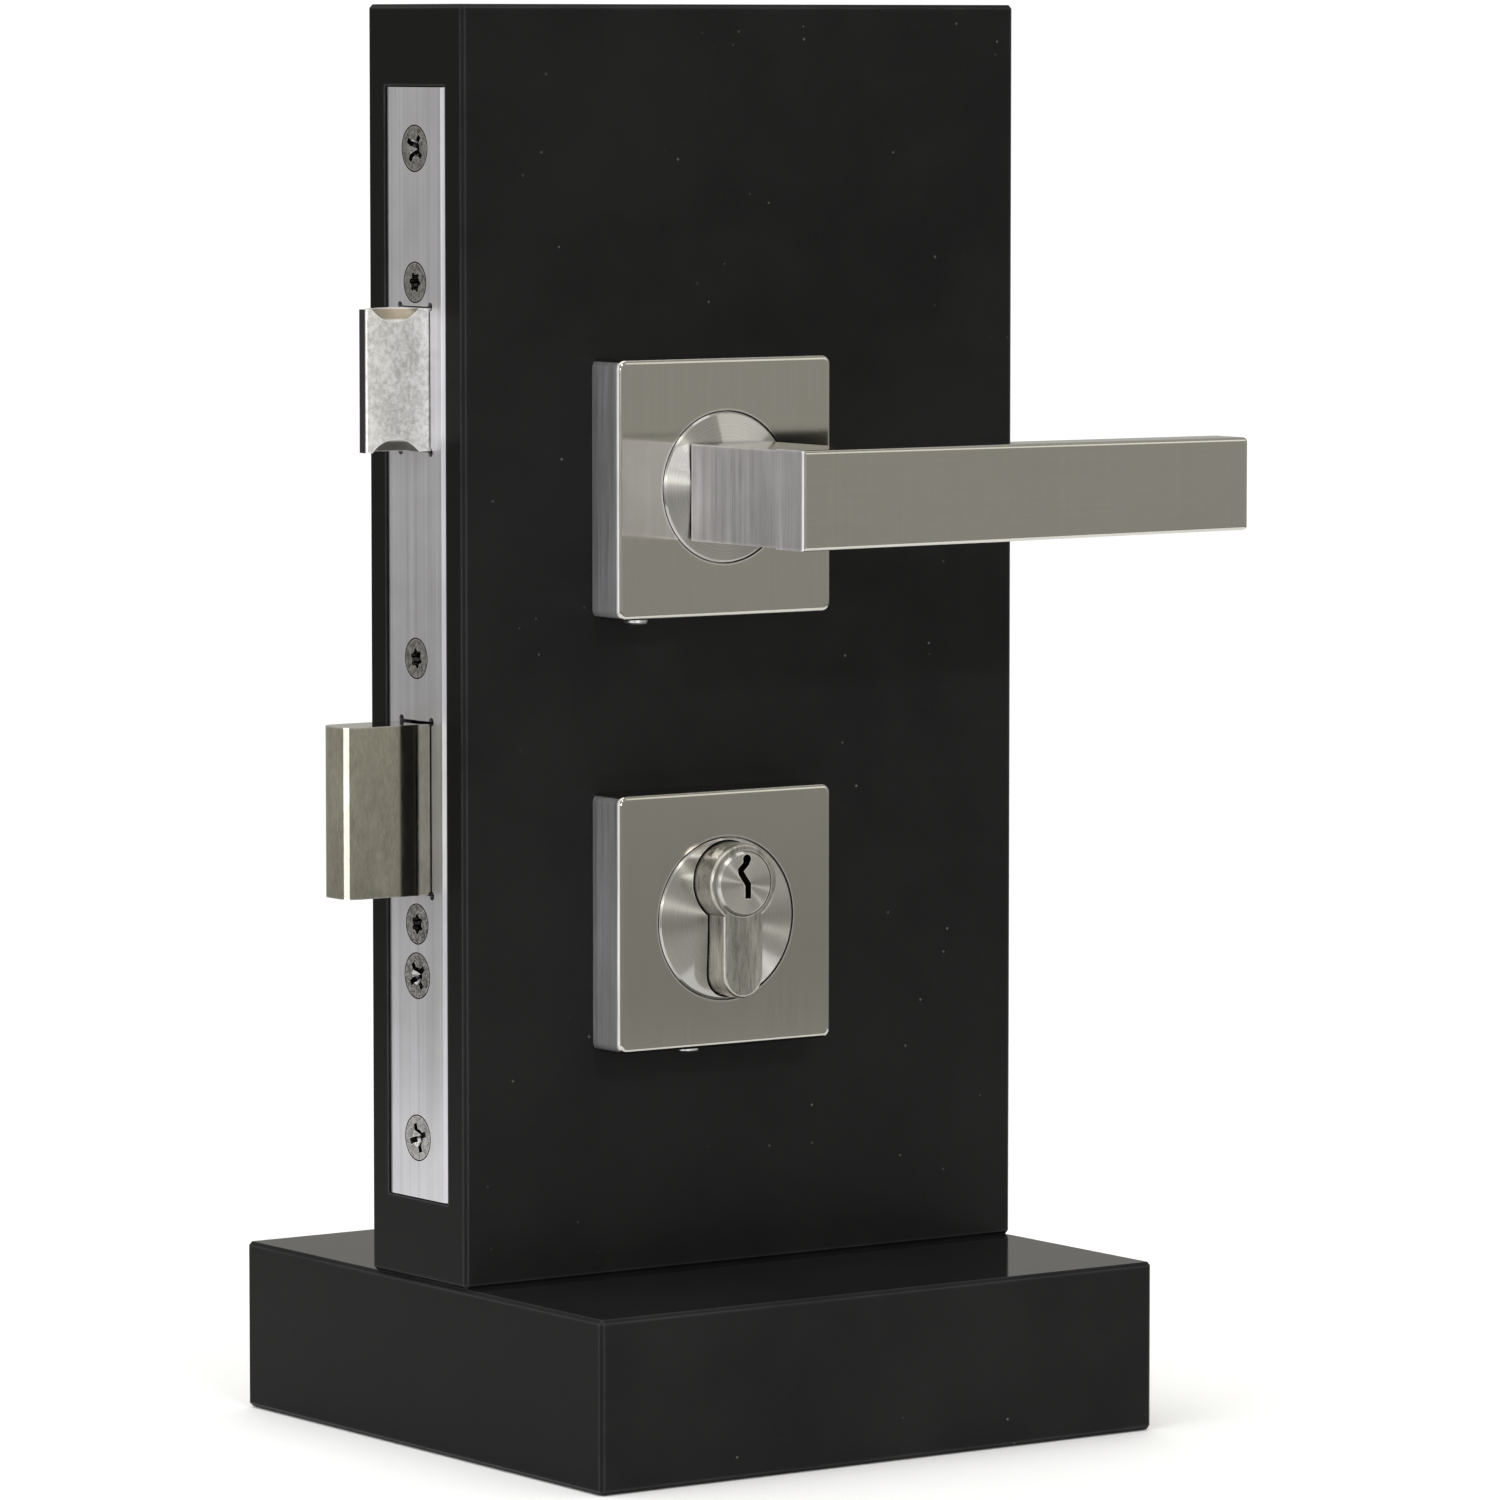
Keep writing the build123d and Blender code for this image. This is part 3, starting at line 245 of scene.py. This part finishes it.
def brushed_metal(
    name,
    dark,
    light,
    grain,
    roughness,
    side=None,
    groove=1.5e-6,
    edge=None,
    edge_reach=0.6 * MM,
    aniso=0.5,
    crevice=0.7 * MM,
    front_grain=None,
):
    """Metal brushed along Z, between a dark and a light colour.

    grain is strokes per metre along each axis, smallest along the strokes, and front_grain is the
    same for faces that look along Y. side holds the colours and roughness of faces along X, edge
    the colour of worn edges that also carry a painted highlight, groove the depth of the strokes,
    and crevice how far the painted shade in gaps and steps reaches.
    """
    s = Shader(name)
    fine = s.noise(grain, detail=5.0, roughness=0.7)
    if front_grain:
        fine = s.blend(s.faces_along("Y"), fine, s.noise(front_grain, detail=5.0, roughness=0.7))
    coarse = s.noise(tuple(value * 0.2 for value in grain), detail=3.0)
    cloud = s.noise(35, detail=3.0)
    streak = s.blend(0.4, fine, coarse)
    tone = s.remap(s.blend(0.3, streak, cloud), 0.3, 0.7)
    colour = s.mix(tone, dark, light)
    rough = s.remap(streak, 0.25, 0.75, *roughness)
    if side:
        along = s.faces_along("X")
        colour = s.mix(along, colour, s.mix(tone, side["dark"], side["light"]))
        rough = s.blend(along, rough, s.remap(streak, 0.25, 0.75, *side["roughness"]))
    # Edges: real wear, lightened further as a painted highlight.
    if edge:
        wear_and_highlight = s.times(s.edges(edge_reach), s.remap(cloud, 0.35, 0.6, 0.6, 1.0))
        colour = s.mix(wear_and_highlight, colour, edge)
    # Painted shade: darker down in gaps and steps.
    colour = s.mix(s.crevice(crevice, 0.45, 0.9), colour, CREVICE_SHADE)
    s.stretch(s.across_grain())
    return s.finish(colour, rough, s.bump(streak, groove), Anisotropic=aniso)


def satin_nickel(name, front_grain=None):
    """Levers and roses: warm satin with a very faint grain, cooler and duller on faces along X."""
    return brushed_metal(
        name,
        (0.455, 0.44, 0.395),
        (0.485, 0.47, 0.425),
        grain=(3200, 3200, 60),
        roughness=(0.115, 0.13),
        # Faces along X: upright brushing, with a lighter, cooler colour that is painted light.
        side={
            "dark": (0.40, 0.39, 0.395),
            "light": (0.66, 0.65, 0.665),
            "roughness": (0.40, 0.50),
        },
        groove=0.6e-6,
        edge=(0.94, 0.91, 0.88),
        edge_reach=0.9 * MM,
        front_grain=front_grain,
    )


def cylinder_nickel():
    """Cylinder body: upright fine brushing that spreads highlights sideways."""
    return brushed_metal(
        "cylinder_nickel",
        (0.20, 0.19, 0.17),
        (0.52, 0.50, 0.45),
        grain=(1700, 1700, 260),
        roughness=(0.24, 0.38),
        groove=3e-6,
        edge=(0.95, 0.92, 0.86),
        aniso=0.8,
        crevice=1.0 * MM,
    )


def turned_nickel(name, node):
    """Faces turned on a lathe about Y: rings round the node's middle, and fanned highlights."""
    s = Shader(name)
    low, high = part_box(node)
    middle = (Vector(low) + Vector(high)) / 2
    point = s.axes(s.coordinates.outputs["Object"])
    outward = s.add("ShaderNodeCombineXYZ")
    s.join(s.math("SUBTRACT", point["X"], middle.x), outward.inputs["X"])
    s.join(s.math("SUBTRACT", point["Z"], middle.z), outward.inputs["Z"])
    radius = s.add("ShaderNodeVectorMath", operation="LENGTH")
    s.join(outward.outputs[0], radius.inputs[0])
    unit = s.add("ShaderNodeVectorMath", operation="NORMALIZE")
    s.join(outward.outputs[0], unit.inputs[0])
    rings = s.add("ShaderNodeTexNoise", noise_dimensions="1D")
    s.join(s.times(radius.outputs["Value"], RINGS_PER_METRE), rings.inputs["W"])
    rings.inputs["Scale"].default_value = 1.0
    rings.inputs["Detail"].default_value = 4.0
    height = rings.outputs["Fac"]
    tone = s.remap(s.blend(0.4, height, s.noise(60, detail=3.0)), 0.3, 0.7)
    colour = s.mix(tone, (0.27, 0.26, 0.23), (0.40, 0.39, 0.345))
    # Painted highlight: the edges lightened.
    colour = s.mix(s.edges(0.4 * MM), colour, (0.85, 0.83, 0.77))
    # Painted shade: darker down in gaps and steps.
    colour = s.mix(s.crevice(0.9 * MM, 0.5, 0.95), colour, CREVICE_SHADE)
    s.stretch(unit.outputs[0])
    rough = s.remap(height, 0.2, 0.8, 0.30, 0.38)
    gloss = {"Anisotropic": 1.0, "Coat Weight": 1.0, "Coat IOR": 2.6, "Coat Roughness": 0.05}
    return s.finish(colour, rough, s.bump(height, 1.5e-6), **gloss)


def stainless_forend():
    """Forend plate: long upright brushing, cooler and lighter than the nickel."""
    return brushed_metal(
        "stainless_forend",
        (0.47, 0.465, 0.49),
        (0.72, 0.715, 0.75),
        grain=(2600, 2600, 9),
        roughness=(0.30, 0.40),
        groove=3e-6,
        edge=(0.70, 0.69, 0.71),
        edge_reach=0.4 * MM,
        aniso=0.6,
    )


def cast_nickel():
    """Latch: grainy nickel plate over a casting, with dishes and tip in painted shade."""
    s = Shader("cast_nickel")
    lumps = s.noise(900, detail=5.0, roughness=0.65, distortion=0.6)
    height = s.blend(0.4, lumps, s.noise(260, detail=3.0))
    colour = s.mix(s.remap(height, 0.38, 0.62), (0.58, 0.575, 0.555), (0.84, 0.835, 0.82))
    rise = s.axes(s.coordinates.outputs["Normal"])["Z"]
    # Painted shade by the tilt of the normal: the upper dish a dark tan, the lower dish near black.
    upper_dish_shade = s.times(s.remap(rise, 0.15, 0.3), s.remap(rise, 0.9, 0.98, 1.0, 0.0))
    lower_dish_shade = s.times(s.remap(rise, -0.3, -0.15, 1.0, 0.0), s.remap(rise, -0.98, -0.9))
    colour = s.mix(upper_dish_shade, colour, (0.30, 0.26, 0.19))
    colour = s.mix(lower_dish_shade, colour, (0.07, 0.065, 0.06))
    # Painted highlight: near white along the edges.
    colour = s.mix(s.edges(0.5 * MM), colour, (0.98, 0.97, 0.95))
    # Painted shade: faces along X, the tip among them, near black.
    colour = s.mix(s.faces_along("X"), colour, (0.035, 0.03, 0.035))
    # Painted shade: darker down in gaps and steps.
    colour = s.mix(s.crevice(0.7 * MM), colour, LATCH_CREVICE_SHADE)
    rough = s.remap(lumps, 0.3, 0.7, 0.42, 0.58)
    return s.finish(colour, rough, s.bump(height, 6e-5, 0.6), metal=0.75)


def polished_nickel():
    """Deadbolt: bright plate with fine upright draw marks and a slightly warm tone."""
    return brushed_metal(
        "polished_nickel",
        (0.36, 0.35, 0.285),
        (0.62, 0.595, 0.50),
        grain=(1100, 1100, 380),
        roughness=(0.06, 0.12),
        groove=1.2e-6,
        edge=(0.88, 0.86, 0.87),
        aniso=0.2,
    )


def screw_steel():
    """Screw heads: a painted highlight on the rims, and dark painted shade down in the recess."""
    s = Shader("screw_steel")
    swirl = s.noise(700, distortion=1.5)
    metal = s.mix(s.remap(swirl, 0.3, 0.7), (0.14, 0.135, 0.13), (0.46, 0.45, 0.44))
    # Painted highlight: the rims lightened.
    colour = s.mix(s.edges(0.35 * MM), metal, (0.70, 0.69, 0.68))
    # Painted shade: dark down in the recess.
    colour = s.mix(s.crevice(1.4 * MM, 0.35, 0.9), colour, SCREW_CREVICE_SHADE)
    return s.finish(colour, s.remap(swirl, 0.3, 0.7, 0.16, 0.3), s.bump(swirl, 1.5e-5, 0.5))


def black_board():
    """Block and base: black lacquer with faint orange peel, dust specks and rubbed arrises.

    Faces along X are a deeper black as painted shade, and level faces are smoother.
    """
    s = Shader("black_board")
    mottle = s.noise(28)
    specks = s.remap(s.cells(240), 0.05, 0.09, 1.0, 0.0)
    dust = s.times(specks, s.remap(s.noise(90, detail=2.0), 0.54, 0.66))
    colour = s.mix(s.remap(mottle, 0.3, 0.7), (0.0094, 0.0095, 0.0096), (0.0126, 0.0126, 0.0126))
    colour = s.mix(s.times(dust, 0.5), colour, (0.16, 0.16, 0.155))
    # Painted shade: faces along X a deeper black.
    colour = s.mix(s.faces_along("X"), colour, (0.0056, 0.0056, 0.0056))
    rubbed = s.times(s.edges(0.9 * MM, 4.0), s.remap(mottle, 0.3, 0.6, 0.45, 1.0))
    colour = s.mix(rubbed, colour, (0.060, 0.061, 0.063))
    upright_rough = s.remap(mottle, 0.3, 0.7, 0.27, 0.34)
    level_rough = s.remap(mottle, 0.3, 0.7, 0.06, 0.10)
    rough = s.blend(s.faces_along("Z"), upright_rough, level_rough)
    peel = s.bump(s.noise(420, detail=3.0), 1.2e-5, 0.6)
    return s.finish(colour, rough, peel, metal=0.0, **{"Specular IOR Level": 0.05})


def plated_steel():
    """Hidden steel: bright zinc with a cloudy spangle."""
    s = Shader("plated_steel")
    cloud = s.noise(90)
    tone = s.blend(0.5, s.cells(180), cloud)
    colour = s.mix(tone, (0.42, 0.42, 0.43), (0.66, 0.66, 0.65))
    return s.finish(colour, s.remap(cloud, 0.3, 0.7, 0.26, 0.42), s.bump(cloud, 8e-6, 0.5))


def spring_steel():
    """Springs: dark drawn wire."""
    return brushed_metal(
        "spring_steel",
        (0.24, 0.24, 0.25),
        (0.42, 0.42, 0.44),
        grain=(700, 700, 700),
        roughness=(0.2, 0.34),
    )


def pin_brass():
    """Cylinder pins and plugs: brass with turning marks."""
    return brushed_metal(
        "pin_brass",
        (0.50, 0.36, 0.15),
        (0.70, 0.54, 0.27),
        grain=(600, 600, 2400),
        roughness=(0.2, 0.32),
    )


def dress(material, *names):
    """Puts one material on CAD nodes."""
    for name in names:
        mesh = NODES[name].data
        mesh.materials.clear()
        mesh.materials.append(material)


def both(*stems):
    """The outside and the inside node of each stem."""
    return [f"{stem}_{side}" for stem in stems for side in ("front", "rear")]


dress(black_board(), "stand_base", "door_block")
dress(satin_nickel("satin_nickel"), *both("lever_rose", "cylinder_rose"))
dress(satin_nickel("satin_nickel_bar", front_grain=(40, 1500, 1500)), *both("lever"))
dress(cylinder_nickel(), "cylinder_body")
for disc in both("lever_collar", "cylinder_insert", "plug"):
    dress(turned_nickel(f"turned_{disc}", disc), disc)
dress(stainless_forend(), "forend")
dress(cast_nickel(), "latch_bolt")
dress(polished_nickel(), "deadbolt")
dress(screw_steel(), "door_fixing_screws", "forend_plate_screws", "cylinder_fixing_screw")
dress(
    spring_steel(),
    "latch_spring",
    "follower_spring",
    "detent_spring",
    "pin_springs",
    *both("lever_return_spring"),
)
dress(pin_brass(), "driver_pins", "chamber_plugs", *both("key_pins"))
dress(
    plated_steel(),
    *(row["node"] for row in frame["record"]["subparts"] if row["material_slot"] == "plated_steel"),
)


# ---- springs ------------------------------------------------------------------------------------

for spring, (fixed_end, share_left) in SPRINGS.items():
    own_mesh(NODES[spring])


# ---- stage --------------------------------------------------------------------------------------


def floor():
    """A pale sheet under the object."""
    level = cad_bounds[0][2] - FLOOR_GAP
    bpy.ops.mesh.primitive_plane_add(size=FLOOR_SIZE, location=(0, 0, level))
    sheet = bpy.context.object
    sheet.name = "floor"
    s = Shader("pale_floor")
    colour = s.mix(s.noise(6, detail=3.0), (0.90, 0.90, 0.90), (0.94, 0.94, 0.94))
    sheet.data.materials.append(s.finish(colour, 0.7, metal=0.0))


def softbox(name, place, size, power, colour=PLAIN):
    """A rectangular area light that looks at the middle of the object."""
    data = bpy.data.lights.new(name, "AREA")
    data.shape = "RECTANGLE"
    data.size, data.size_y = size
    data.energy = power
    data.color = colour
    lamp = bpy.data.objects.new(name, data)
    bpy.context.scene.collection.objects.link(lamp)
    lamp.location = place
    lamp.rotation_euler = (Vector(MIDDLE) - Vector(place)).to_track_quat("-Z", "Y").to_euler()


def surroundings():
    """A world that shows white behind the object and lights it with a grey, darkest below."""
    world = bpy.data.worlds.new("studio")
    bpy.context.scene.world = world
    world.use_nodes = True
    tree = world.node_tree
    seen = tree.nodes["Background"]
    seen.inputs["Color"].default_value = (1.0, 1.0, 1.0, 1.0)
    seen.inputs["Strength"].default_value = WHITE_SEEN
    light = tree.nodes.new("ShaderNodeBackground")
    light.inputs["Color"].default_value = (*LIGHT_COLOUR, 1.0)
    direction = tree.nodes.new("ShaderNodeTexCoord")
    height = tree.nodes.new("ShaderNodeSeparateXYZ")
    fade = tree.nodes.new("ShaderNodeMapRange")
    fade.interpolation_type = "SMOOTHSTEP"
    fade.inputs["From Min"].default_value, fade.inputs["From Max"].default_value = LIGHT_FADES
    fade.inputs["To Min"].default_value = LIGHT_BELOW
    fade.inputs["To Max"].default_value = LIGHT_ABOVE
    tree.links.new(direction.outputs["Generated"], height.inputs[0])
    tree.links.new(height.outputs["Z"], fade.inputs["Value"])
    tree.links.new(fade.outputs["Result"], light.inputs["Strength"])
    path = tree.nodes.new("ShaderNodeLightPath")
    choice = tree.nodes.new("ShaderNodeMixShader")
    tree.links.new(path.outputs["Is Camera Ray"], choice.inputs[0])
    tree.links.new(light.outputs[0], choice.inputs[1])
    tree.links.new(seen.outputs[0], choice.inputs[2])
    tree.links.new(choice.outputs[0], tree.nodes["World Output"].inputs["Surface"])


def studio():
    """A broad light overhead, a softbox each side, and two small ones for the turned discs."""
    bpy.context.scene.view_settings.view_transform = "Standard"
    surroundings()
    sky = bpy.data.lights.new("broad_overhead", "SUN")
    sky.energy = OVERHEAD_POWER
    sky.angle = OVERHEAD_SPREAD
    lamp = bpy.data.objects.new("broad_overhead", sky)
    lamp.rotation_euler = (OVERHEAD_LEAN, OVERHEAD_LEAN, 0.0)
    bpy.context.scene.collection.objects.link(lamp)
    softbox("left", (-1.5, -0.35, 0.45), (1.2, 1.4), 10.0, COOL)
    softbox("right", (1.5, -1.5, 0.9), (1.0, 1.0), 3.0, WARM)
    softbox("front_low", (-0.56, -1.70, 0.32), (0.12, 0.12), 6.0)
    softbox("front_high", (-0.16, -1.51, 1.11), (0.12, 0.12), 6.0)


def camera():
    """A long lens, turned 35 degrees towards the forend and tilted slightly down."""
    data = bpy.data.cameras.new("camera")
    data.lens = CAMERA_LENS
    data.clip_end = CAMERA_REACH
    eye = bpy.data.objects.new("camera", data)
    bpy.context.scene.collection.objects.link(eye)
    eye.location = CAMERA_PLACE
    eye.rotation_euler = (math.radians(90) + CAMERA_TILT, 0.0, -CAMERA_TURN)
    bpy.context.scene.camera = eye


floor()
studio()
camera()
